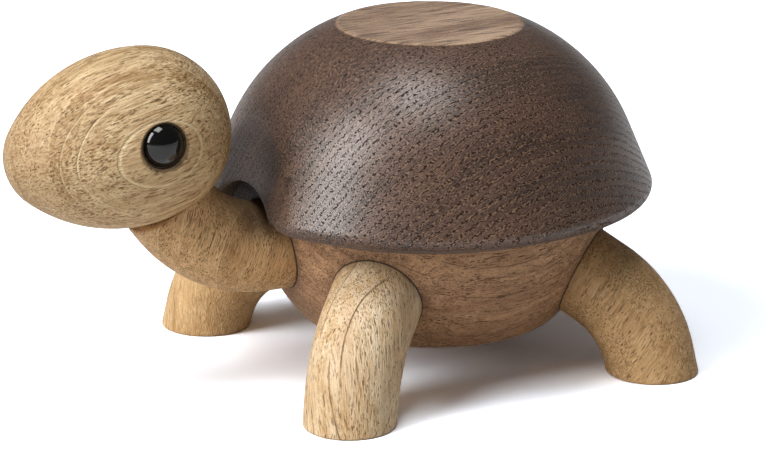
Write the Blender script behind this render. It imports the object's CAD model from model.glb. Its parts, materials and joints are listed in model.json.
import json
import bmesh
import bpy
import numpy as np
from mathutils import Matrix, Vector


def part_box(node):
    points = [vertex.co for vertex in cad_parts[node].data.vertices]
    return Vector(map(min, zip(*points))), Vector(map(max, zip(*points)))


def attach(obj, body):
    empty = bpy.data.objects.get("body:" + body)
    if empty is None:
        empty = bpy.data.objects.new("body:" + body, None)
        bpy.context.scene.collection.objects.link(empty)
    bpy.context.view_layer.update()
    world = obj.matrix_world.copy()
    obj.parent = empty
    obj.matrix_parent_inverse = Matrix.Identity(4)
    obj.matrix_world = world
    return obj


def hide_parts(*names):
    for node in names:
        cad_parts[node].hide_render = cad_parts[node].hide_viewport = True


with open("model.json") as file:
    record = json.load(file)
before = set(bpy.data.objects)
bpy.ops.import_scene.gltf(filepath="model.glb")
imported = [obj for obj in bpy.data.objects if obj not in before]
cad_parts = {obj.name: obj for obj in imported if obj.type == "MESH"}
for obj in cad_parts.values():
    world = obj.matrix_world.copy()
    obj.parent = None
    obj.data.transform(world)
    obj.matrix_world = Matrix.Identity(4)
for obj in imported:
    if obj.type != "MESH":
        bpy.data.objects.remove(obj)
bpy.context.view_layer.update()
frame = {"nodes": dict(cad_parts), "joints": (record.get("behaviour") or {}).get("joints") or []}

mm = 0.001
farOut = 1000.0  # in millimetres, beyond every piece


def direction(degrees):
    # (cos a, sin a) of one angle or of a row of them
    angle = np.radians(degrees)
    return np.stack([np.cos(angle), np.sin(angle)], axis=-1)


def unit(vector):
    # The vector divided by its length
    vector = np.asarray(vector, float)
    return vector / np.linalg.norm(vector)


def arc(centre, radius, startAngle, endAngle, count):
    # centre + radius (cos a, sin a), with a from one angle to the other
    return np.asarray(centre) + radius * direction(np.linspace(startAngle, endAngle, count))


def fullTurn(count):
    # Angles all the way round, in equal steps
    return np.linspace(0, 2 * np.pi, count, endpoint=False)


def softMin(first, second, width):
    # The lesser of two, rounded over a band: second + (first - second) h - width h (1 - h)
    share = np.clip(0.5 + 0.5 * (second - first) / width, 0, 1)
    return second + (first - second) * share - width * share * (1 - share)


def smoothStep(low, high, value):
    # 0 up to low, 1 from high on, and 3 t^2 - 2 t^3 between them
    share = np.clip((value - low) / (high - low), 0, 1)
    return share * share * (3 - 2 * share)


def gridMesh(name, rows, crease=None):
    # Closed skin over rows of points that run round the piece. The first and last rows shrink to one point each.
    count, around = rows.shape[:2]
    inner = rows[1:-1].reshape(-1, 3)
    points = np.vstack([rows[0, :1], inner, rows[-1, :1]])
    ring = np.arange(around)
    following = np.roll(ring, -1)
    start = 1 + around * np.arange(count - 3)[:, None]
    quads = np.stack(
        [start + ring, start + following, start + following + around, start + ring + around], axis=-1)
    last = 1 + around * (count - 3)
    capStart = np.stack([np.zeros_like(ring), 1 + following, 1 + ring], axis=-1)
    capEnd = np.stack([np.full_like(ring, len(points) - 1), last + ring, last + following], axis=-1)
    mesh = bpy.data.meshes.new(name)
    faces = quads.reshape(-1, 4).tolist() + capStart.tolist() + capEnd.tolist()
    mesh.from_pydata((points * mm).tolist(), [], faces)
    work = bmesh.new()
    work.from_mesh(mesh)
    bmesh.ops.recalc_face_normals(work, faces=work.faces)
    work.to_mesh(mesh)
    work.free()
    mesh.shade_smooth()
    if crease is not None:
        mesh.set_sharp_from_angle(angle=np.radians(crease))
    return mesh


def addObject(name, data):
    made = bpy.data.objects.new(name, data)
    bpy.context.scene.collection.objects.link(made)
    return made


def addPiece(name, mesh, body, nodes):
    piece = addObject(name, mesh)
    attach(piece, body)
    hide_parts(*nodes)
    return piece


def dress(piece, material):
    piece.data.materials.clear()
    piece.data.materials.append(material)


shellShape = {
    "rimRadius": 37.0, "rimRounding": 1.8, "rimHeight": 27.8, "skirtFlare": 23.0, "skirtLength": 9.5,
    "domeEndLean": 70.0, "height": 56.3, "topSoftening": 0.5,
    "fluteRadius": 120.0, "fluteDepth": 2.8, "fluteLean": 10.0, "fluteSoftening": 2.2,
    "archWidth": 23.6, "archRise": 5.15, "archDepth": 3.4, "archBlend": 16.0, "archEdge": 0.2, "archEasing": 1.5,
    "undersideDrop": 2.2, "shoulderRadius": 29.65, "wallRing": 32.5, "wallFoot": (0.998, 0.985), "leastCosine": 0.1,
    "channelRadius": 7.75, "channelHeight": 22.2, "channelEnd": 26.0,
    "around": 480, "topCrowding": 0.8, "liftRounds": 6, "crease": 42,
    "rows": {"top": 25, "edge": 7, "dome": 62, "skirt": 26, "rim": 18, "roof": 12, "floor": 40},
}

# Shapes are worked out in millimetres about the shell's upright axis, then moved to where the CAD shell stands
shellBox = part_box("shell")
shellAxis = np.array([0.0, shellBox[1].y / mm - shellShape["rimRadius"], 0.0])


def makeShell():
    # An outline carried round the upright axis, (r sin a, -r cos a, z), then fluted and arched at the front
    s, rows = shellShape, shellShape["rows"]
    flare = direction(s["skirtFlare"])
    rimCentre = np.array([s["rimRadius"] - s["rimRounding"], s["rimHeight"] + s["rimRounding"]])
    rimEnd = rimCentre + flare * s["rimRounding"]
    skirtEnd = rimEnd + direction(90 + s["skirtFlare"]) * s["skirtLength"]
    domeRadius = (s["height"] - skirtEnd[1]) / (direction(s["domeEndLean"])[1] - flare[1])
    domeCentre = skirtEnd - flare * domeRadius
    soft = s["topSoftening"]
    softHeight = s["height"] - soft
    softRadius = domeCentre[0] + np.sqrt((domeRadius - soft) ** 2 - (softHeight - domeCentre[1]) ** 2)
    softAngle = np.degrees(np.arctan2(softHeight - domeCentre[1], softRadius - domeCentre[0]))

    def outerRadius(height):
        onDome = domeCentre[0] + np.sqrt(np.maximum(domeRadius**2 - (height - domeCentre[1]) ** 2, 0))
        onSkirt = rimEnd[0] + (rimEnd[1] - height) * np.tan(np.radians(s["skirtFlare"]))
        return np.where(height > skirtEnd[1], onDome, onSkirt)

    # Outline from the middle of the flat top to the rim's lowest ring
    spread = np.linspace(0, 1, rows["top"] + 1)[:-1] ** s["topCrowding"]
    flat = np.stack([softRadius * spread, np.full(rows["top"], s["height"])], axis=-1)
    edge = arc((softRadius, softHeight), soft, 90, softAngle, rows["edge"])
    dome = arc(domeCentre, domeRadius, softAngle, s["skirtFlare"], rows["dome"])[1:]
    skirt = skirtEnd + (rimEnd - skirtEnd) * np.linspace(0, 1, rows["skirt"])[1:, None]
    rim = arc(rimCentre, s["rimRounding"], s["skirtFlare"], -90, rows["rim"])[1:]
    outline = np.vstack([flat, edge, dome, skirt, rim])
    radius, height = outline[:, :1], outline[:, 1:]
    wall = np.arange(len(outline))[:, None] >= len(flat) + len(edge)
    inset = np.where(wall, outerRadius(height) - radius, 0)

    # Flute: the near wall of a wide cylinder that leans back, where a level section is an ellipse.
    # r solves (r sin a)^2 + cos^2 lean (r cos a - axis)^2 = F^2, with the axis moving back as the height grows.
    angle = fullTurn(s["around"])
    sine, cosine = np.sin(angle), np.cos(angle)
    forward = cosine > 0
    lean = np.radians(s["fluteLean"])
    reach = s["rimRadius"] - s["fluteDepth"]

    def fluteRadius(height):
        axis = reach + s["fluteRadius"] / np.cos(lean) - (height - s["rimHeight"]) * np.tan(lean)
        stretch = sine**2 + (cosine * np.cos(lean)) ** 2
        half = axis * cosine * np.cos(lean) ** 2
        inside = half**2 - stretch * ((axis * np.cos(lean)) ** 2 - s["fluteRadius"] ** 2)
        return np.where(forward & (inside > 0), (half - np.sqrt(np.maximum(inside, 0))) / stretch, farOut)

    def wallRadius(height, inset):
        fluted = softMin(outerRadius(height), fluteRadius(height), s["fluteSoftening"]) - inset
        return np.where(wall, fluted, radius + 0 * angle)

    # Arch: over the neck the wall's foot is lifted by rise - A + sqrt(A^2 - x^2), and the lift fades out upwards.
    # The rim's rounding shrinks there to the arch's small edge.
    archRadius = ((s["archWidth"] / 2) ** 2 + s["archRise"] ** 2) / (2 * s["archRise"])

    def bow(x):
        return s["archRise"] - archRadius + np.sqrt(np.maximum(archRadius**2 - x**2, 0))

    above = height - s["rimHeight"]
    rimRise = rimEnd[1] - s["rimHeight"]
    fade = np.clip(1 - (above - rimRise) / (s["archBlend"] - rimRise), 0, 1) ** 2
    around = wallRadius(height, inset)
    for _ in range(s["liftRounds"]):
        lift = np.where(forward, np.maximum(bow(around * sine), 0), 0)
        easing = 1 - (1 - s["archEdge"]) * smoothStep(0, s["archEasing"], lift)
        lifted = height + (lift - (1 - easing) * np.minimum(above, rimRise)) * fade
        around = wallRadius(lifted, inset * easing)
    outside = np.stack([around * sine, -around * cosine, lifted], axis=-1)

    # Underside: slopes down to the body's shoulder. The arch ends at an upright wall, and the neck's channel
    # goes on behind it.
    def underside(reached):
        share = np.clip((rimCentre[0] - reached) / (rimCentre[0] - s["shoulderRadius"]), 0, 1)
        return s["rimHeight"] - s["undersideDrop"] * share, reached * sine, reached * cosine

    ahead = np.where(forward, (reach - s["archDepth"]) / np.maximum(cosine, s["leastCosine"]), s["wallRing"])
    wallRing = np.minimum(ahead, s["wallRing"])
    outer = around[-1] + (wallRing - around[-1]) * np.linspace(0, 1, rows["roof"])[1:, None]
    seat, x, y = underside(outer)
    roof = np.stack([x, -y, np.where(forward, np.maximum(seat, s["rimHeight"] + bow(x)), seat)], axis=-1)
    wallEnd, floorStart = s["wallFoot"]
    inner = wallRing * np.concatenate([[wallEnd], np.linspace(floorStart, 0, rows["floor"])])[:, None]
    seat, x, y = underside(inner)
    channel = s["channelHeight"] + np.sqrt(np.maximum(s["channelRadius"] ** 2 - x**2, 0))
    seat = np.where((y > s["channelEnd"]) & (abs(x) < s["channelRadius"]), np.maximum(seat, channel), seat)
    floor = np.stack([x, -y, seat], axis=-1)
    return gridMesh("turnedShell", np.vstack([outside, roof, floor]) + shellAxis, s["crease"])


bodyShape = {
    "ballRadius": 29.7, "ballHeight": 27.8, "underside": 6.5, "undersideSoftening": 4.0, "shoulder": 26.0,
    "shoulderSoftening": 0.3, "around": 288,
    "rows": {"flat": 29, "toe": 20, "side": 90, "shoulder": 6, "top": 23},
}


def makeBody():
    # Half an outline, carried round the upright axis: (r sin a, -r cos a, z)
    s, rows = bodyShape, bodyShape["rows"]
    soft = s["undersideSoftening"]
    softHeight = s["underside"] + soft
    softRadius = np.sqrt((s["ballRadius"] - soft) ** 2 - (softHeight - s["ballHeight"]) ** 2)
    softAngle = np.degrees(np.arctan2(softHeight - s["ballHeight"], softRadius))
    edge = s["shoulderSoftening"]
    endAngle = np.degrees(np.arcsin((s["shoulder"] - edge - s["ballHeight"]) / s["ballRadius"]))
    flatRadius = np.linspace(0, softRadius, rows["flat"] + 1)[:-1]
    flat = np.stack([flatRadius, np.full(rows["flat"], s["underside"])], axis=-1)
    toe = arc((softRadius, softHeight), soft, -90, softAngle, rows["toe"])
    side = arc((0.0, s["ballHeight"]), s["ballRadius"], softAngle, endAngle, rows["side"])[1:]
    shoulder = arc((side[-1, 0] - edge, side[-1, 1]), edge, 0, 90, rows["shoulder"])[1:]
    topRadius = np.linspace(shoulder[-1, 0], 0, rows["top"] + 1)[1:]
    top = np.stack([topRadius, np.full(rows["top"], s["shoulder"])], axis=-1)
    profile = np.vstack([flat, toe, side, shoulder, top])
    angle = fullTurn(s["around"])
    radius, height = profile[:, :1], np.broadcast_to(profile[:, 1:], (len(profile), s["around"]))
    skin = np.stack([radius * np.sin(angle), -radius * np.cos(angle), height], axis=-1)
    return gridMesh("turnedBody", skin + shellAxis)


barShape = {
    "radius": 7.5, "softening": 0.5, "seatClearance": 0.1, "seatBite": 0.3, "seatEdge": 0.2, "around": 112,
    "rows": {"rounded": 7, "flat": 7},
}


def seatDepth(offset):
    # How far from the ball's middle a bar's flat end sits, so that its edge bites just into the ball
    edge = offset + barShape["radius"] + barShape["seatClearance"]
    return np.sqrt(bodyShape["ballRadius"] ** 2 - edge**2) - barShape["seatBite"]


def barRows(centres, tangents, sideways, radius):
    # centre + r (cos a * in-plane normal + sin a * sideways): a round section carried along a flat path
    angle = fullTurn(barShape["around"])
    normals = np.cross(sideways, tangents)
    ring = np.cos(angle)[:, None] * normals[:, None] + np.sin(angle)[:, None] * sideways
    return centres[:, None] + np.reshape(radius, (-1, 1, 1)) * ring


def softEnd(centre, tangent, sideways, softening):
    # Rows that round a bar's end over and close it flat
    radius, rows = barShape["radius"], barShape["rows"]
    turn = np.radians(np.linspace(0, 90, rows["rounded"]))
    rounded = radius - softening + softening * np.cos(turn)
    inward = (radius - softening) * np.linspace(1, 0, rows["flat"] + 1)[1:]
    reach = np.concatenate([softening * np.sin(turn) - softening, np.zeros(rows["flat"])])
    radii = np.concatenate([rounded, inward])
    return barRows(centre + reach[:, None] * tangent, np.tile(tangent, (len(radii), 1)), sideways, radii)


legShape = {
    "bendRadius": 18.0, "footLean": 13.0, "topLean": 60.0, "footStraight": 3.0, "shinShare": 0.75,
    "places": {  # bearing from straight ahead towards the turtle's left, and the foot's reach
        "front_left_leg": (44.5, 40.1), "front_right_leg": (-44.5, 40.1),
        "rear_left_leg": (135.0, 38.8), "rear_right_leg": (225.0, 38.8),
    },
    "rows": {"knee": 60, "thigh": 23, "shin": 10, "toe": 8, "sole": 7},
}


def legFrame(bearing):
    # A leg's outward, upward and sideways axes
    turn = np.radians(bearing)
    outward = np.array([np.sin(turn), -np.cos(turn), 0.0])
    return outward, np.array([0.0, 0.0, 1.0]), np.cross(outward, (0.0, 0.0, 1.0))


def legPath(bearing, footReach):
    # Straight shin, an arc for the knee, and a straight thigh that ends on its flat seat in the ball
    s, rows = legShape, legShape["rows"]
    outward, up, sideways = legFrame(bearing)
    rising, inward = direction(90 + s["footLean"]), direction(90 + s["topLean"])
    foot = np.array([footReach, 0.0])
    kneeStart = foot + rising * s["footStraight"]
    kneeCentre = kneeStart + direction(180 + s["footLean"]) * s["bendRadius"]
    knee = arc(kneeCentre, s["bendRadius"], s["footLean"], s["topLean"], rows["knee"])
    toBall = np.array([0.0, bodyShape["ballHeight"]]) - knee[-1]
    offset = abs(toBall[0] * inward[1] - toBall[1] * inward[0])
    length = toBall @ inward - seatDepth(offset)
    thigh = knee[-1] + np.linspace(0, 1, rows["thigh"] + 1)[1:, None] * length * inward
    kneeHeading = direction(90 + np.linspace(s["footLean"], s["topLean"], rows["knee"]))
    heading = np.vstack([kneeHeading, np.tile(inward, (rows["thigh"], 1))])
    toSpace = np.stack([outward, up])
    return np.vstack([knee, thigh]) @ toSpace, heading @ toSpace, foot @ toSpace, rising @ toSpace, sideways


def makeLeg(name):
    # The round section carried along the leg's path, down to a level foot
    centres, headings, foot, rising, sideways = legPath(*legShape["places"][name])
    radius, soft, rows = barShape["radius"], barShape["softening"], legShape["rows"]
    top = softEnd(centres[-1], headings[-1], sideways, barShape["seatEdge"])
    bar = barRows(centres[:-1], headings[:-1], sideways, radius)

    # Shin: each straw of the bar runs down to a level ring, and the last rings draw in to soften the foot's edge
    ring = barRows(foot[None], rising[None], sideways, radius)[0]
    turn = np.radians(np.linspace(0, 90, rows["toe"]))
    shares = np.linspace(1, 0, rows["shin"] + 2)[1:-1]
    shinLevels = shares * bar[0, :, 2].min() * legShape["shinShare"] + soft
    levels = np.concatenate([shinLevels, soft * (1 - np.sin(turn))])
    inset = np.concatenate([np.zeros(rows["shin"]), soft * (1 - np.cos(turn))])
    straws = ring + (levels[:, None, None] - ring[:, 2:]) / rising[2] * rising
    middle = foot + levels[:, None, None] / rising[2] * rising
    reach = np.linalg.norm(straws - middle, axis=-1, keepdims=True)
    shin = middle + (straws - middle) * (1 - inset[:, None, None] / reach)
    sole = middle[-1] + (shin[-1] - middle[-1]) * np.linspace(1, 0, rows["sole"] + 1)[1:, None, None]
    return gridMesh(name, np.vstack([top[::-1], bar[::-1][1:], shin, sole]) + shellAxis)


neckShape = {
    "drop": 5.6, "rootLength": 4.0, "bendRadius": 19.6, "bendAngle": 53.0, "tipLength": 3.0,
    "rows": {"root": 14, "bend": 70, "tip": 8}, "tipRowsRounded": 3,
}


def neckPath():
    # Straight out of the ball, then an arc up and forward, then a short straight tip
    s, rows = neckShape, neckShape["rows"]
    height = bodyShape["ballHeight"] - s["drop"]
    start = seatDepth(s["drop"])
    bendStart = start + s["rootLength"]
    root = np.stack([np.linspace(start, bendStart, rows["root"]), np.full(rows["root"], height)], axis=-1)
    bendCentre = (bendStart, height + s["bendRadius"])
    bend = arc(bendCentre, s["bendRadius"], -90, s["bendAngle"] - 90, rows["bend"])[1:]
    tip = bend[-1] + np.linspace(0, s["tipLength"], rows["tip"] + 1)[1:, None] * direction(s["bendAngle"])
    bendTurns = np.linspace(0, s["bendAngle"], rows["bend"])[1:]
    turns = np.concatenate([np.zeros(rows["root"]), bendTurns, np.full(rows["tip"], s["bendAngle"])])
    toSpace = np.array([[0.0, -1.0, 0.0], [0.0, 0.0, 1.0]])
    return np.vstack([root, bend, tip]) @ toSpace, direction(turns) @ toSpace


def makeNeck():
    # The round section carried along the neck's path, with a soft end at each side
    centres, headings = neckPath()
    sideways = np.array([1.0, 0.0, 0.0])
    start = softEnd(centres[0], -headings[0], -sideways, barShape["seatEdge"])
    # The start's rows run the other way round, so they are matched to the bar by their angle
    start = start[:, np.r_[0, np.arange(barShape["around"] - 1, 0, -1)]]
    end = softEnd(centres[-1], headings[-1], sideways, barShape["softening"])
    between = slice(1, -neckShape["tipRowsRounded"])
    bar = barRows(centres[between], headings[between], sideways, barShape["radius"])
    return gridMesh("bentNeck", np.vstack([start[::-1], bar, end]) + shellAxis)


shell = addPiece("turned_shell", makeShell(), "base", ["shell"])
body = addPiece("turned_body", makeBody(), "base", ["body"])
neck = addPiece("bent_neck", makeNeck(), "base", ["neck"])
legs = {name: addPiece("bent_" + name, makeLeg(name), "base", [name]) for name in legShape["places"]}
print("turned and bent pieces made")

headShape = {
    "halfLength": 18.65, "halfWidth": 14.2, "sideRadius": 25.2, "widestSetback": 2.3, "nod": 8.2, "seatReach": 13.1,
    "turningGap": 0.2, "turningClearance": 0.25, "recessReach": 9.0, "around": 256, "crease": 50,
    "rows": {"floor": 7, "cone": 8, "lip": 5, "skin": 96},
}
eyeShape = {
    "radius": 3.45, "dome": 2.15, "setback": 2.95, "rise": 1.65, "socketRadius": 4.5, "socketDepth": 1.2,
    "clearance": 0.1, "mouthSoftening": 0.18, "mouthSearch": 1.2, "backInset": 0.1, "capStart": 1.0, "around": 128,
    "rows": {"back": 8, "cap": 60},
}
headJoint = frame["joints"][0]
turnPoint = np.array(headJoint["pos_m"]) / mm
turnAxis = unit(headJoint["axis"])
headMiddle = turnPoint + turnAxis * (headShape["turningGap"] + headShape["seatReach"])
noseAlong = np.array([0.0, -np.cos(np.radians(headShape["nod"])), -np.sin(np.radians(headShape["nod"]))])
headUp = np.array([0.0, noseAlong[2], -noseAlong[1]])
eyeMiddle = headMiddle - noseAlong * eyeShape["setback"] + headUp * eyeShape["rise"]


def eggRadius(along):
    # Three arcs that meet without a corner: the nose, the long side and the back
    s = headShape
    sag = s["sideRadius"] - s["halfWidth"]
    slack = s["sideRadius"] - s["halfLength"]
    lead = (s["widestSetback"] ** 2 + sag**2 - slack**2) / 2
    noseMiddle = lead / (slack - s["widestSetback"])
    backMiddle = -lead / (slack + s["widestSetback"])
    noseEnd = unit((noseMiddle + s["widestSetback"], sag))[0] * s["sideRadius"] - s["widestSetback"]
    backStart = unit((backMiddle + s["widestSetback"], sag))[0] * s["sideRadius"] - s["widestSetback"]
    nose = np.sqrt(np.maximum((s["halfLength"] - noseMiddle) ** 2 - (along - noseMiddle) ** 2, 0))
    back = np.sqrt(np.maximum((s["halfLength"] + backMiddle) ** 2 - (along - backMiddle) ** 2, 0))
    side = np.sqrt(np.maximum(s["sideRadius"] ** 2 - (along + s["widestSetback"]) ** 2, 0)) - sag
    return np.where(along > noseEnd, nose, np.where(along < backStart, back, side))


def eggSide(along, rise):
    # How far out to the side the egg's skin lies, 0 outside its outline
    return np.sqrt(np.maximum(eggRadius(along) ** 2 - rise**2, 0))


def crossing(test, low, high, halvings=60):
    # Halving steps to where a whole array of tests turns from true to false
    low, high = low + 0.0, high + 0.0
    for _ in range(halvings):
        middle = (low + high) / 2
        inside = test(middle)
        low, high = np.where(inside, middle, low), np.where(inside, high, middle)
    return low


socketFloor = eggSide(-eyeShape["setback"], eyeShape["rise"]) - eyeShape["socketDepth"]


def makeHead():
    # Polar grid round the eye on each cheek: along, rise = eye + distance (cos a, sin a), out to the egg's outline
    s, e, rows = headShape, eyeShape, headShape["rows"]
    spokes = direction(np.linspace(0, 360, s["around"], endpoint=False))

    def place(distance):
        return distance * spokes[:, 0] - e["setback"], distance * spokes[:, 1] + e["rise"]

    floorRadius = e["radius"] + e["clearance"]
    slope = e["socketDepth"] / (e["socketRadius"] - floorRadius)
    none = np.zeros(s["around"])

    def underSkin(distance):
        return socketFloor + (distance - floorRadius) * slope < eggSide(*place(distance))

    def inOutline(distance):
        along, rise = place(distance)
        return eggRadius(along) > abs(rise)

    outline = crossing(inOutline, none, none + 2 * s["halfLength"])
    mouth = crossing(underSkin, none + floorRadius, none + e["socketRadius"] * e["mouthSearch"])
    soft = e["mouthSoftening"]
    floor = np.linspace(0, 1, rows["floor"])[:, None] * (floorRadius + none)
    cone = floorRadius + np.linspace(0, 1, rows["cone"] + 1)[1:, None] * (mouth - soft - floorRadius)
    lip = mouth + soft * np.linspace(-1, 1, rows["lip"] + 2)[1:-1, None]
    skin = mouth + soft + np.sin(np.linspace(0, np.pi / 2, rows["skin"]))[:, None] * (outline - mouth - soft)
    distance = np.vstack([floor, cone, lip, skin])
    along, rise = place(distance)
    onSkin = eggSide(along, rise)
    onSkin[-1] = 0
    inSocket = socketFloor + np.maximum(distance - floorRadius, 0) * slope
    out = softMin(inSocket, onSkin, soft * slope)
    out = np.where(distance > mouth + 2 * soft, onSkin, np.where(distance < mouth - 2 * soft, inSocket, out))
    left = np.stack([along, rise, out], axis=-1)
    right = left[:-1][::-1] * (1, 1, -1)
    toSpace = np.stack([noseAlong, headUp, (1.0, 0.0, 0.0)])
    return gridMesh("eggHead", np.vstack([left, right]) @ toSpace + headMiddle)


def makeRecessCutter():
    # Drum on the turning axis, a running clearance wider than the neck's tip
    gap, depth = headShape["turningGap"], headShape["recessReach"]
    reach = np.array([gap, gap, -depth, -depth])
    radius = (barShape["radius"] + headShape["turningClearance"]) * np.array([0.0, 1.0, 1.0, 0.0])
    centres, headings = turnPoint + reach[:, None] * turnAxis, np.tile(turnAxis, (len(reach), 1))
    return gridMesh("recessDrum", barRows(centres, headings, np.array([1.0, 0.0, 0.0]), radius))


def makeEye(side):
    # Turned bead: a ball's cap over a flat back, with its edge eased
    e, rows = eyeShape, eyeShape["rows"]
    ball = (e["radius"] ** 2 + e["dome"] ** 2) / (2 * e["dome"])
    edgeAngle = np.degrees(np.arcsin((ball - e["dome"]) / ball))
    back = np.stack([np.linspace(0, e["radius"] - e["backInset"], rows["back"]), np.zeros(rows["back"])], axis=-1)
    cap = arc((0.0, e["dome"] - ball), ball, edgeAngle + e["capStart"], 90, rows["cap"])
    profile = np.vstack([back, cap])
    profile[-1, 0] = 0
    angle = fullTurn(e["around"])
    ring = np.cos(angle)[:, None] * noseAlong + np.sin(angle)[:, None] * headUp
    out = np.array([float(side), 0.0, 0.0])
    skin = eyeMiddle + profile[:, :1, None] * ring + (socketFloor + profile[:, 1:, None]) * out
    return gridMesh("eyeBead", skin)


# Head with its recess for the neck's tip
headWork, drum = addObject("headWork", makeHead()), addObject("drumWork", makeRecessCutter())
cut = headWork.modifiers.new("recess", "BOOLEAN")
cut.operation, cut.solver, cut.object = "DIFFERENCE", "EXACT", drum
bpy.context.view_layer.update()
headMesh = bpy.data.meshes.new_from_object(headWork.evaluated_get(bpy.context.evaluated_depsgraph_get()))
headMesh.name = "eggHeadRecessed"
for work in (headWork, drum):
    bpy.data.objects.remove(work)
headMesh.shade_smooth()
headMesh.set_sharp_from_angle(angle=np.radians(headShape["crease"]))
head = addPiece("egg_head", headMesh, "head", ["head"])
eyes = {
    name: addPiece("bead_" + name, makeEye(side), "head", [name])
    for name, side in (("left_eye", 1), ("right_eye", -1))
}
print("head and eyes made")


class Signal:
    # A socket that takes part in sums: each sum adds a Math node
    def __init__(self, sheet, socket):
        self.sheet, self.socket = sheet, socket

    def math(self, operation, *values):
        return self.sheet.add("Math", {"operation": operation}, dict(enumerate(values)))

    def __add__(self, other): return self.math("ADD", self, other)
    def __sub__(self, other): return self.math("SUBTRACT", self, other)
    def __rsub__(self, other): return self.math("SUBTRACT", other, self)
    def __mul__(self, other): return self.math("MULTIPLY", self, other)
    def __truediv__(self, other): return self.math("DIVIDE", self, other)
    def __rtruediv__(self, other): return self.math("DIVIDE", other, self)
    def __pow__(self, other): return self.math("POWER", self, other)
    def __rpow__(self, other): return self.math("POWER", other, self)
    __radd__, __rmul__ = __add__, __mul__

    def apply(self, operation, *values): return self.math(operation, self, *values)

    def clamp(self): return self.apply("MAXIMUM", 0.0).apply("MINIMUM", 1.0)

    def atLeast(self, least): return self * (1 - least) + least  # 0 is raised to least, and 1 stays

    def step(self, low, high):
        # 0 below low and 1 above high, smooth between, or falling where low is above high
        first, second, start, end = (low, high, 0.0, 1.0) if low < high else (high, low, 1.0, 0.0)
        return self.sheet.add("MapRange", {"interpolation_type": "SMOOTHSTEP"}, {
            "Value": self, "From Min": first, "From Max": second, "To Min": start, "To Max": end})


class Sheet:
    # The nodes of one material, or of the world
    def __init__(self, owner, shader):
        owner.use_nodes = True
        self.material, self.tree = owner, owner.node_tree
        self.shader = self.tree.nodes[shader]

    def add(self, kind, settings, inputs, *outputs):
        node = self.tree.nodes.new("ShaderNode" + kind)
        for key, value in settings.items():
            setattr(node, key, value)
        for key, value in inputs.items():
            self.put(node.inputs[key], value)
        made = [Signal(self, node.outputs[key]) for key in outputs or (0,)]
        return made[0] if len(made) == 1 else made

    def put(self, socket, value):
        if isinstance(value, Signal):
            self.tree.links.new(value.socket, socket)
        else:
            socket.default_value = value

    def place(self):
        # Object coordinates in millimetres
        return self.vector("SCALE", self.add("TexCoord", {}, {}, "Object"), Scale=1 / mm)

    def rays(self):
        return self.add("LightPath", {}, {}, "Is Camera Ray", "Is Glossy Ray", "Is Transmission Ray")

    def vector(self, operation, first, second=None, output=0, **named):
        inputs = {0: first} if second is None else {0: first, 1: second}
        return self.add("VectorMath", {"operation": operation}, {**inputs, **named}, output)

    def dot(self, first, second):
        return self.vector("DOT_PRODUCT", first, tuple(second), "Value")

    def pack(self, x, y, z):
        return self.add("CombineXYZ", {}, {0: x, 1: y, 2: z})

    def noise(self, place, detail=2.0, roughness=0.5):
        return self.add("TexNoise", {}, {"Vector": place, "Scale": 1.0, "Detail": detail, "Roughness": roughness})

    def mix(self, share, first, second):
        return self.add("Mix", {"data_type": "RGBA"}, {0: share, 6: first, 7: second}, 2)

    def shade(self, paint, value, reach, strength, tint):
        # Puts a tint on the paint, from none to full as a value goes through its reach
        return self.mix(value.step(*reach) * strength, paint, tint)

    def finish(self, **sockets):
        for name, value in sockets.items():
            self.put(self.shader.inputs[name.replace("_", " ")], value)
        return self.material


def newSheet(name):
    return Sheet(bpy.data.materials.new(name), "Principled BSDF")


def colour(red, green, blue):
    # Display colour from 0 to 255, as the linear colour that a socket takes: the display's standard curve undone
    shown = np.array([red, green, blue]) / 255
    linear = np.where(shown > 0.04045, ((shown + 0.055) / 1.055) ** 2.4, shown / 12.92)
    return (*linear.tolist(), 1.0)


# Glue lines where a bar meets the ball: a soft shade and a dark gap, each with its reach and strength.
# A bar's root stops counting over rootEnd.
seams = {
    "shade": ((2.2, 0.0), 0.28), "gap": ((0.22, 0.08), 0.85, colour(40, 28, 19)), "rootEnd": (4.0, 12.0), "away": 99.0,
}
neckCentres, neckHeadings = neckPath()
barRoots = [(neckCentres[0] + shellAxis, neckHeadings[0])]
for legPlace in legShape["places"].values():
    legCentres, legHeadings = legPath(*legPlace)[:2]
    barRoots.append((legCentres[-1] + shellAxis, -legHeadings[-1]))


def ballSeam(sheet, place):
    # Distance from the body's ball
    middle = shellAxis + (0, 0, bodyShape["ballHeight"])
    return (sheet.vector("DISTANCE", place, tuple(middle), "Value") - bodyShape["ballRadius"]).apply("ABSOLUTE")


def barSeam(sheet, place):
    # Least distance from the straight roots of the legs and the neck
    least = None
    for point, heading in barRoots:
        apart = sheet.vector("SUBTRACT", place, tuple(point))
        across = sheet.vector("LENGTH", sheet.vector("CROSS_PRODUCT", apart, tuple(heading)), None, "Value")
        beyond = sheet.dot(apart, heading).step(*seams["rootEnd"]) * seams["away"]
        gap = (across - barShape["radius"]).apply("ABSOLUTE") + beyond
        least = gap if least is None else least.apply("MINIMUM", gap)
    return least


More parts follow.
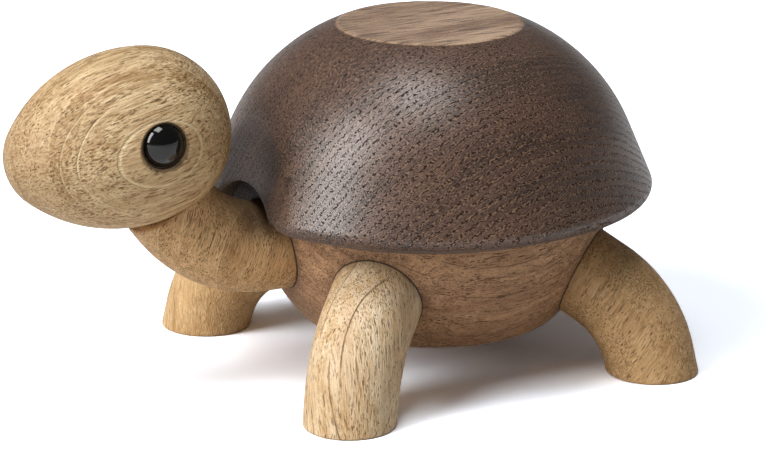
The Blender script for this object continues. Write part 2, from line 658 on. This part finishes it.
# What every oak here shares. A grain: width, length, detail, roughness and shift. Kept: where its noise fades in.
oakFigure = {
    "unevenRings": 2.3, "earlyFull": 0.3, "edgeEnd": 0.97, "bandWidth": 3.2, "bandLength": 26.0,
    "edgeGrain": (2.5, 7.0, 2.0, 0.5, 71.0), "edgeKept": (-0.12, 0.12), "edgeLeast": 0.2,
    "streakGrain": (1.0, 11.0, 3.0), "patchGrain": (6.0, 20.0),
    "busyGrain": (3.2, 9.0, 2.0, 0.5, 17.0), "busyKept": (-0.14, 0.12),
    "blushGrain": (8.0, 34.0, 2.0, 0.5, 31.0), "blushKept": (-0.08, 0.16),
    "strokeKept": (0.04, 0.14), "strokeLeast": 0.25, "gleamKept": (-0.05, -0.15), "gleamLeast": 0.4,
    "speckScale": 3.2, "speckRoughness": 0.6, "swayScale": 0.7,
    "dashGirth": (0.65, 0.7), "dashHeart": (1.0, 0.55), "dashLot": (-0.04, 0.04),
    "dotGrain": (1.0, 0.5, 53.0), "dotPore": (0.03, 0.12), "dotLip": (0.01, 0.10),
    "veinGrain": (2.0, 6.0), "veinKept": (-0.2, 0.05), "veinLeast": 0.5, "veinWave": 0.5, "veinHeart": 0.25,
    "fibreHeight": -1.5, "fleckHeight": 0.3, "fibreRoughness": 0.3, "poreRoughness": 0.25, "fuzzRoughness": 0.2,
}


def oak(name, wood, seam=None):
    # Solid oak: rings are shells about the log's axis, and pores are short tubes along it, crowded where a ring starts
    f = oakFigure
    sheet = newSheet(name)
    place = sheet.place()
    log = unit(wood["log"])
    facing = np.asarray(wood["ringFacing"], float)
    facing = unit(facing - (facing @ log) * log)
    side = np.cross(log, facing)
    local = sheet.vector("SUBTRACT", place, tuple(wood["middle"]))
    across, flank, along = sheet.dot(local, facing), sheet.dot(local, side), sheet.dot(local, log)

    def grain(width, length, detail=2.0, roughness=0.55, shift=0.0):
        stretched = sheet.pack(across / width + shift, flank / width, along / length)
        return sheet.noise(stretched, detail, roughness) - 0.5

    # Ring number: distance from the pith, drifting slowly along the log
    wave = grain(wood["waveWidth"], wood["waveLength"])
    pith = wood["pith"]
    fromPith = ((across + pith) ** 2.0 + flank ** 2.0) ** 0.5 - pith
    bent = fromPith + wave * wood["waveHeight"]
    uneven = sheet.add("TexNoise", {"noise_dimensions": "1D"}, {
        "W": bent / (wood["ringWidth"] * f["unevenRings"]), "Scale": 1.0, "Detail": 1.0})
    rings = bent / wood["ringWidth"] + (uneven - 0.5) * wood["ringUneven"]
    phase = rings.apply("FRACT")
    ringTone = sheet.add("TexWhiteNoise", {"noise_dimensions": "1D"}, {"W": rings.apply("FLOOR")}) - 0.5
    early = phase.step(wood["earlyShare"], wood["earlyShare"] * f["earlyFull"])
    edgeKept = grain(*f["edgeGrain"]).step(*f["edgeKept"]).atLeast(f["edgeLeast"])
    ringEdge = phase.step(wood["edgeStart"], f["edgeEnd"]) * edgeKept

    # Fibres along the log, and slow changes of tone
    fibre, streak, patch = grain(*wood["fibre"]), grain(*f["streakGrain"]), grain(*f["patchGrain"])
    busy = grain(*f["busyGrain"]).step(*f["busyKept"])
    speck = sheet.noise(sheet.vector("SCALE", local, Scale=f["speckScale"]), 2.0, f["speckRoughness"]) - 0.5
    sway = (sheet.noise(sheet.vector("SCALE", local, Scale=f["swayScale"]), 1.0) - 0.5) * wood["sway"]
    band = sheet.noise(sheet.pack(
        fromPith / f["bandWidth"], flank / f["bandLength"], along / f["bandLength"])) - 0.5

    # Pores and flecks: the hearts of stretched cells whose lot falls under the crowd's share
    def dashes(width, length, size, crowd, spread):
        cell = sheet.pack((across + sway) / width, (flank + sway) / width, along / length)
        near, lot = sheet.add("TexVoronoi", {}, {"Vector": cell, "Scale": 1.0}, "Distance", "Color")
        chance, girth = sheet.add("SeparateColor", {}, {0: lot}, 0, 1)
        share = early * (crowd - spread) + spread + patch * wood["crowding"]
        slim, more = f["dashGirth"]
        reach = near / (girth * (size * more) + size * slim)
        return reach.step(*f["dashHeart"]) * (share - chance).step(*f["dashLot"])

    pore = None
    for *kind, strength in wood["pores"]:
        dash = dashes(*kind) * strength
        pore = dash if pore is None else pore.apply("MAXIMUM", dash)
    fleck = dashes(*wood["flecks"])

    # Fine dots, packed along the rings: dark pores and the light lips beside them
    if "dots" in wood:
        width, length, rows = wood["dots"]
        dots, row = grain(width, length, *f["dotGrain"]), (early - 0.5) * rows
        pore = pore.apply("MAXIMUM", (dots + row).step(*f["dotPore"]))
        fleck = fleck.apply("MAXIMUM", (row - dots).step(*f["dotLip"]))
    stroke = fibre.step(*f["strokeKept"]) * busy.atLeast(f["strokeLeast"])
    gleam = fibre.step(*f["gleamKept"]) * busy.atLeast(f["gleamLeast"])

    tone = streak * wood["streakTone"] + patch * wood["patchTone"] + speck * wood["speckTone"]
    tone = tone + ringTone * wood["ringTone"] + band * wood["bandTone"] - early * wood["earlyTone"]
    tone = (tone + 0.5).clamp()
    paint = sheet.mix(tone, wood["dark"], wood["light"])
    paint = sheet.shade(paint, grain(*f["blushGrain"]), f["blushKept"], wood["blushTone"], wood["blush"])
    layers = (
        (ringEdge * wood["edgeLine"], "edge"), (stroke * wood["strokeTone"], "stroke"),
        (gleam * wood["gleamTone"], "fleck"), (fleck * wood["fleckTone"], "fleck"), (pore, "pore"))
    for mask, tint in layers:
        paint = sheet.mix(mask, paint, wood[tint])
    height = fibre * f["fibreHeight"] + fleck * f["fleckHeight"] - pore

    # Single rings that stand out, each at its own distance from an origin along the ring facing
    if "veins" in wood:
        fromOrigin = sheet.vector("SUBTRACT", place, tuple(wood["veinOrigin"]))
        level = sheet.dot(fromOrigin, facing) + wave * f["veinWave"]
        broken = grain(*f["veinGrain"]).step(*f["veinKept"]).atLeast(f["veinLeast"])
        for offset, width, strength, start, end in wood["veins"]:
            kept = flank.step(*wood["veinFlank"]) * along.step(start, end) * broken * strength
            vein = (level - offset).apply("ABSOLUTE").step(width, width * f["veinHeart"]) * kept
            paint = sheet.mix(vein, paint, wood["vein"])
            height = height - vein
    if seam is not None:
        gap = seam(sheet, place)
        paint = sheet.shade(paint, gap, *seams["shade"], wood["line"])
        paint = sheet.shade(paint, gap, *seams["gap"])
    gloss = 1 - pore
    if "extra" in wood:
        paint, gloss = wood["extra"](sheet, place, paint, gloss, tone)
    bump = sheet.add("Bump", {}, {"Strength": wood["bump"], "Distance": wood["poreDepth"] * mm, "Height": height})
    rough = fibre * f["fibreRoughness"] + pore * f["poreRoughness"] + wood["roughness"]
    return sheet.finish(
        Base_Color=paint, Roughness=rough, Normal=bump, Coat_Weight=gloss * wood["sheen"],
        Coat_Roughness=wood["sheenRoughness"], Coat_IOR=wood["sheenIndex"],
        Specular_IOR_Level=wood["specular"], Sheen_Weight=wood["fuzz"], Sheen_Roughness=f["fuzzRoughness"])


# Each kind of pore and fleck: width, length, size, share in the early wood, share elsewhere, and a pore's strength.
# Veins: distance along the ring facing, half width, strength, and where along the log a vein starts and is full.
naturalOak = {
    "light": colour(238, 209, 162), "dark": colour(180, 142, 92), "line": colour(104, 72, 40),
    "stroke": colour(134, 98, 56), "pore": colour(102, 72, 40), "fleck": colour(248, 224, 178),
    "edge": colour(240, 212, 164), "blush": colour(214, 170, 124),
    "waveWidth": 14.0, "waveLength": 50.0, "waveHeight": 2.2, "pith": 45.0, "ringWidth": 2.3, "ringUneven": 0.9,
    "earlyShare": 0.8, "edgeStart": 0.9, "fibre": (0.24, 3.0), "sway": 0.5, "crowding": 1.6,
    "pores": [(0.40, 6.5, 0.27, 0.7, 0.3, 0.75), (0.30, 1.5, 0.30, 0.6, 0.35, 0.65)],
    "flecks": (0.4, 1.8, 0.28, 0.35, 0.45),
    "fleckTone": 0.6, "streakTone": 2.2, "patchTone": 1.0, "ringTone": 0.25, "speckTone": 1.0, "earlyTone": 0.06,
    "strokeTone": 0.75, "gleamTone": 0.5, "blushTone": 0.35, "edgeLine": 0.25, "bandTone": 0.0,
    "bump": 0.9, "poreDepth": 0.2, "roughness": 0.55, "specular": 0.3,
    "sheen": 0.06, "sheenRoughness": 0.4, "sheenIndex": 1.5, "fuzz": 0.0,
}

# Shades: the reach over which each fades in, its strength and its colour
headOak = {
    **naturalOak, "log": noseAlong - 0.12 * headUp, "ringFacing": (1.0, 0.0, 0.05), "middle": headMiddle,
    "light": colour(236, 206, 162), "dark": colour(170, 134, 88), "edge": colour(248, 222, 174),
    "stroke": colour(122, 86, 44), "vein": colour(252, 228, 182),
    "veins": [(13.2, 0.12, 0.65, -90.0, -80.0), (10.6, 0.13, 0.65, 0.0, 6.0), (9.0, 0.13, 0.5, 0.0, 7.0)],
    "veinOrigin": headMiddle, "veinFlank": (90.0, 80.0), "ringWidth": 2.0, "fibre": (0.32, 4.2),
    "pores": [(0.44, 5.5, 0.27, 0.7, 0.3, 0.75), (0.40, 1.8, 0.32, 0.6, 0.3, 0.65)],
    "edgeLine": 0.4, "gleamTone": 0.65, "strokeTone": 0.85, "ringTone": 0.4, "bandTone": 0.6,
    "noseShade": ((8.0, 21.0), 0.3, colour(150, 116, 80)), "socketShade": ((4.3, 3.9), 0.35, colour(112, 78, 46)),
    "beadGap": ((3.85, 3.65), 0.85, colour(38, 26, 18)),
}


def eyeRing(sheet, place, paint, gloss, tone):
    # The end grain at the nose takes more finish, and the socket's wall is browned round the bead
    local = sheet.vector("SUBTRACT", place, tuple(eyeMiddle))
    ahead, up = sheet.dot(local, noseAlong), sheet.dot(local, headUp)
    away = sheet.vector("LENGTH", sheet.pack(0.0, ahead, up), None, "Value")
    paint = sheet.shade(paint, ahead, *headOak["noseShade"])
    paint = sheet.shade(paint, away, *headOak["socketShade"])
    return sheet.shade(paint, away, *headOak["beadGap"]), gloss


headOak["extra"] = eyeRing
dress(head, oak("headOak", headOak))

neckOak = {
    **naturalOak, "log": (0.0, 0.35, 0.93), "ringFacing": (0.6, 0.8, 0.0), "middle": turnPoint,
    "light": colour(248, 208, 156), "dark": colour(194, 150, 102), "fleck": colour(238, 202, 150),
    "stroke": colour(130, 92, 52), "edge": colour(244, 214, 166), "ringWidth": 3.0, "edgeLine": 0.6, "bandTone": 1.0,
    "archAhead": (39.5, 34.5), "archUp": (24.0, 28.5), "archTone": 0.75, "archTint": colour(58, 40, 26),
}


def archShade(sheet, place, paint, gloss, tone):
    # The finish is darker where the neck goes in under the shell
    local = sheet.vector("SUBTRACT", place, tuple(shellAxis))
    ahead, up = sheet.dot(local, (0, -1, 0)), sheet.dot(local, (0, 0, 1))
    under = ahead.step(*neckOak["archAhead"]) * up.step(*neckOak["archUp"])
    return sheet.mix(under * neckOak["archTone"], paint, neckOak["archTint"]), gloss


neckOak["extra"] = archShade
dress(neck, oak("neckOak", neckOak, ballSeam))

bodyOak = {
    **naturalOak, "log": (0.0, 1.0, 0.06), "ringFacing": (0.35, 0.0, 1.0), "middle": shellAxis + (0, 0, 20),
    "light": colour(218, 172, 130), "dark": colour(148, 111, 81), "line": colour(58, 38, 24),
    "stroke": colour(98, 70, 50), "pore": colour(82, 57, 40), "fleck": colour(202, 164, 130),
    "edge": colour(90, 62, 43), "blush": colour(158, 114, 86),
    "ringWidth": 2.6, "edgeLine": 0.75, "edgeStart": 0.92, "fleckTone": 0.5, "streakTone": 2.0, "patchTone": 0.6,
    "speckTone": 1.8, "strokeTone": 0.9, "bandTone": 0.8,
}
dress(body, oak("bodyOak", bodyOak, barSeam))

shellOak = {
    **naturalOak, "log": (0.0, 0.906, 0.423), "ringFacing": (0.766, 0.272, -0.583), "middle": shellAxis + (0, 0, 40),
    "light": colour(100, 73, 58), "dark": colour(58, 42, 34), "stroke": colour(60, 45, 38),
    "pore": colour(52, 39, 32), "fleck": colour(150, 116, 92), "edge": colour(54, 41, 34), "blush": colour(108, 73, 57),
    "waveHeight": 1.2, "pith": 90.0, "ringWidth": 1.15, "ringUneven": 0.35, "crowding": 0.8, "earlyShare": 0.6,
    "sway": 0.3, "pores": [(0.32, 0.8, 0.34, 0.5, 0.1, 0.7)], "flecks": (0.30, 0.8, 0.34, 0.7, 0.25),
    "dots": (0.17, 0.45, 0.145), "fleckTone": 0.7, "streakTone": 1.0, "patchTone": 0.8, "ringTone": 0.3,
    "bandTone": 2.8, "edgeLine": 0.25, "gleamTone": 0.0, "strokeTone": 0.3, "blushTone": 0.35, "bump": 0.8,
    "roughness": 0.5, "specular": 0.1, "sheen": 1.0, "sheenRoughness": 0.38, "sheenIndex": 1.7, "fuzz": 0.3,
    "bareRise": (-0.28, -0.12), "bareDark": colour(160, 128, 104), "bareLight": colour(212, 180, 150),
    "bareDull": 0.8, "openPores": (0.36, 8.0), "openPoreShade": ((0.52, 0.60), 0.8, colour(84, 60, 46)),
    "wallSlope": 0.176, "hiddenDepth": (-0.4, -1.2), "hiddenAside": (13.5, 12.8), "hiddenUp": (37.5, 36.5),
    "hiddenAhead": (20.0, 24.0), "hiddenTone": 0.85, "hiddenTint": colour(30, 24, 20),
    "fluteNear": (1.0, 0.3), "fluteAside": (13.0, 8.0), "fluteUp": (48.0, 40.0), "fluteSides": (1.0, 7.0),
    "fluteTone": 0.5, "fluteTint": colour(38, 32, 27), "fluteDull": 0.7, "rimRise": (2.2, 0.6), "rimDull": 0.7,
}


def bareTop(sheet, place, paint, gloss, tone):
    # The sawn flat top is bare wood with long open pores, lighter than the stained dome. The arch's inside is
    # dull and dark, the flute's sides are darker, and the flute and the rim are less glossy.
    s, w = shellShape, shellOak
    local = sheet.vector("SUBTRACT", place, tuple(shellAxis))
    x, ahead, up = sheet.dot(local, (1, 0, 0)), sheet.dot(local, (0, -1, 0)), sheet.dot(local, (0, 0, 1))
    aside = x.apply("ABSOLUTE")
    bareStart, bareFull = w["bareRise"]
    bare = up.step(s["height"] + bareStart, s["height"] + bareFull)
    poreWidth, poreLength = w["openPores"]
    lines = sheet.noise(sheet.pack(x / poreWidth, ahead / poreLength, 0.0))
    bareWood = sheet.shade(sheet.mix(tone, w["bareDark"], w["bareLight"]), lines, *w["openPoreShade"])
    proud = ahead - (s["rimRadius"] - s["fluteDepth"] - (up - s["rimHeight"]) * w["wallSlope"])
    hidden = proud.step(*w["hiddenDepth"]) * aside.step(*w["hiddenAside"]) * up.step(*w["hiddenUp"])
    hidden = hidden * ahead.step(*w["hiddenAhead"])
    paint = sheet.mix(hidden * w["hiddenTone"], sheet.mix(bare, paint, bareWood), w["hiddenTint"])
    fluted = proud.apply("ABSOLUTE").step(*w["fluteNear"]) * aside.step(*w["fluteAside"]) * up.step(*w["fluteUp"])
    paint = sheet.mix(fluted * aside.step(*w["fluteSides"]) * w["fluteTone"], paint, w["fluteTint"])
    rimStart, rimFull = w["rimRise"]
    rim = up.step(s["rimHeight"] + rimStart, s["rimHeight"] + rimFull)
    gloss = gloss * (1 - bare * w["bareDull"]) * (1 - hidden)
    return paint, gloss * (1 - fluted * w["fluteDull"]) * (1 - rim * w["rimDull"])


shellOak["extra"] = bareTop
dress(shell, oak("shellOak", shellOak))

legOak = {
    **naturalOak, "light": colour(254, 234, 202), "dark": colour(210, 174, 126), "edgeLine": 0.12,
    "middleReach": 34.0, "middleHeight": 12.0,
}
legGrain = {
    "front_left_leg": {
        "log": (-0.406, 0.118, 0.906), "ringFacing": (0.906, 0.177, 0.383),
        "veins": [(26.9, 0.13, 0.8, -6.5, -4.0), (25.2, 0.13, 0.8, -2.5, -5.0), (22.1, 0.13, 0.7, 0.0, 2.0)],
        "veinOrigin": shellAxis, "veinFlank": (4.0, 1.0), "vein": naturalOak["line"],
    },
    "front_right_leg": {
        "log": (-0.2, 0.1, 0.97), "ringFacing": (0.8, 0.6, 0.0),
        "light": colour(236, 198, 146), "dark": colour(192, 150, 98),
        "pores": [(0.40, 6.5, 0.27, 0.6, 0.2, 0.4)], "strokeTone": 0.4,
    },
    "rear_left_leg": {
        "log": (0.2, 0.5, 0.85), "ringFacing": (0.9, -0.4, 0.2),
        "light": colour(232, 190, 136), "dark": colour(182, 138, 88),
    },
    "rear_right_leg": {
        "log": (-0.2, 0.4, 0.88), "ringFacing": (0.5, 0.8, 0.0),
        "light": colour(236, 198, 146), "dark": colour(186, 146, 96),
    },
}
for name, piece in legs.items():
    outward = legFrame(legShape["places"][name][0])[0]
    legMiddle = shellAxis + outward * legOak["middleReach"] + (0, 0, legOak["middleHeight"])
    dress(piece, oak(name + "Oak", {**legOak, **legGrain[name], "middle": legMiddle}, ballSeam))

dowelOak = {**naturalOak, "log": (0, 0, 1), "ringFacing": (1, 0, 0), "middle": (0, 0, 0)}
for name in ("leg_dowels", "neck_dowel", "head_peg"):
    dress(frame["nodes"][name], oak(name + "Oak", dowelOak))

beadGloss = {
    "dark": colour(7, 6, 6), "light": colour(15, 13, 12), "roughness": 0.04, "specular": 0.55,
    "hazeScale": 0.8, "hazeRoughness": 0.05, "dustScale": 9.0, "dustKept": (0.55, 0.8), "dustRoughness": 0.05,
}
eyeSheet = newSheet("eyeGloss")
haze = eyeSheet.noise(eyeSheet.vector("SCALE", eyeSheet.place(), Scale=beadGloss["hazeScale"]))
dust = eyeSheet.noise(eyeSheet.vector("SCALE", eyeSheet.place(), Scale=beadGloss["dustScale"]))
dust = dust.step(*beadGloss["dustKept"])
eyeSheet.finish(
    Base_Color=eyeSheet.mix(haze, beadGloss["dark"], beadGloss["light"]), Specular_IOR_Level=beadGloss["specular"],
    Roughness=haze * beadGloss["hazeRoughness"] + dust * beadGloss["dustRoughness"] + beadGloss["roughness"])
for piece in eyes.values():
    dress(piece, eyeSheet.material)
print("materials made")

# Camera where the photograph was taken from
view = {
    "azimuth": 63.353, "elevation": 17.07, "distance": 568.28, "target": (-3.369, -6.713, 20.376),
    "lens": 159.375, "sensor": 36.0, "clip": (0.01, 20.0),
}
azimuth, elevation = np.radians(view["azimuth"]), np.radians(view["elevation"])
back = np.array([np.sin(azimuth) * np.cos(elevation), -np.cos(azimuth) * np.cos(elevation), np.sin(elevation)])
cameraData = bpy.data.cameras.new("camera")
cameraData.lens, cameraData.sensor_width = view["lens"], view["sensor"]
cameraData.clip_start, cameraData.clip_end = view["clip"]
camera = addObject("camera", cameraData)
camera.location = (shellAxis + view["target"] + back * view["distance"]) * mm
camera.rotation_euler = (np.pi / 2 - elevation, 0.0, azimuth)
bpy.context.scene.camera = camera

# Floor, light and background, in metres. A lamp's level is the share of a facing white surface that it lights.
studio = {
    "floorHalf": 3.0, "floorLines": 9, "floorDrop": 1e-5, "floorRoughness": 0.9,
    "floorTone": (0.66, 0.64, 0.60), "floorSeen": (1.80, 1.90, 2.06), "floorMirrored": 0.35,
    "ambient": 0.10, "mirrorRise": (0.12, 0.0), "lampDistance": 2.0, "aimHeight": 0.03,
    "lamps": {  # way towards the lamp, level, width and height
        "front": ((0.09, -0.83, 0.55), 0.93, 0.7, 1.6), "overhead": ((0.08, -0.16, 0.98), 0.46, 0.9, 0.9),
    },
}
lines = studio["floorLines"]
span = np.linspace(-studio["floorHalf"], studio["floorHalf"], lines)
floorX, floorY = np.meshgrid(span, span, indexing="ij")
floorPoints = np.stack([floorX, floorY, np.full_like(floorX, -studio["floorDrop"])], axis=-1).reshape(-1, 3)
corner = (np.arange(lines - 1)[:, None] * lines + np.arange(lines - 1)).reshape(-1, 1)
floorMesh = bpy.data.meshes.new("floor")
floorMesh.from_pydata(floorPoints.tolist(), [], (corner + np.array([0, lines, lines + 1, 1])).tolist())
floor = addObject("floor", floorMesh)

# The floor is a pale grey to the light that falls on things, and lighter where it is looked at
floorSheet = newSheet("paleFloor")
floorSheet.finish(
    Base_Color=(*studio["floorTone"], 1.0), Roughness=studio["floorRoughness"], Specular_IOR_Level=0.0)
direct, mirror, through = floorSheet.rays()
seen = direct.apply("MAXIMUM", mirror * studio["floorMirrored"]).apply("MAXIMUM", through)
pale = floorSheet.add("BsdfDiffuse", {}, {"Color": (*studio["floorSeen"], 1.0)})
plain = Signal(floorSheet, floorSheet.shader.outputs[0])
floorSheet.put(floorSheet.tree.nodes["Material Output"].inputs["Surface"],
               floorSheet.add("MixShader", {}, {0: seen, 1: plain, 2: pale}))
dress(floor, floorSheet.material)

# The background is white to the camera, and to mirrors near the horizon and below it
world = bpy.data.worlds.new("studio")
bpy.context.scene.world = world
worldSheet = Sheet(world, "Background")
direct, mirror, through = worldSheet.rays()
rise = worldSheet.dot(worldSheet.add("TexCoord", {}, {}, "Generated"), (0, 0, 1))
mirrored = mirror.apply("MAXIMUM", through) * rise.step(*studio["mirrorRise"])
grey, white = (*[studio["ambient"]] * 3, 1.0), (1.0, 1.0, 1.0, 1.0)
worldSheet.finish(Color=worldSheet.mix(direct.apply("MAXIMUM", mirrored), grey, white))

for name, (towards, level, width, tall) in studio["lamps"].items():
    lamp = bpy.data.lights.new(name, "AREA")
    lamp.shape, lamp.size, lamp.size_y = "RECTANGLE", width, tall
    lamp.energy = level * (np.pi * studio["lampDistance"]) ** 2
    holder = addObject(name, lamp)
    towards = unit(towards)
    holder.location = shellAxis * mm + (0, 0, studio["aimHeight"]) + towards * studio["lampDistance"]
    holder.rotation_euler = (np.arccos(towards[2]), 0.0, np.arctan2(towards[0], -towards[1]))
bpy.context.scene.view_settings.view_transform = "Standard"
print("camera, floor and light made")
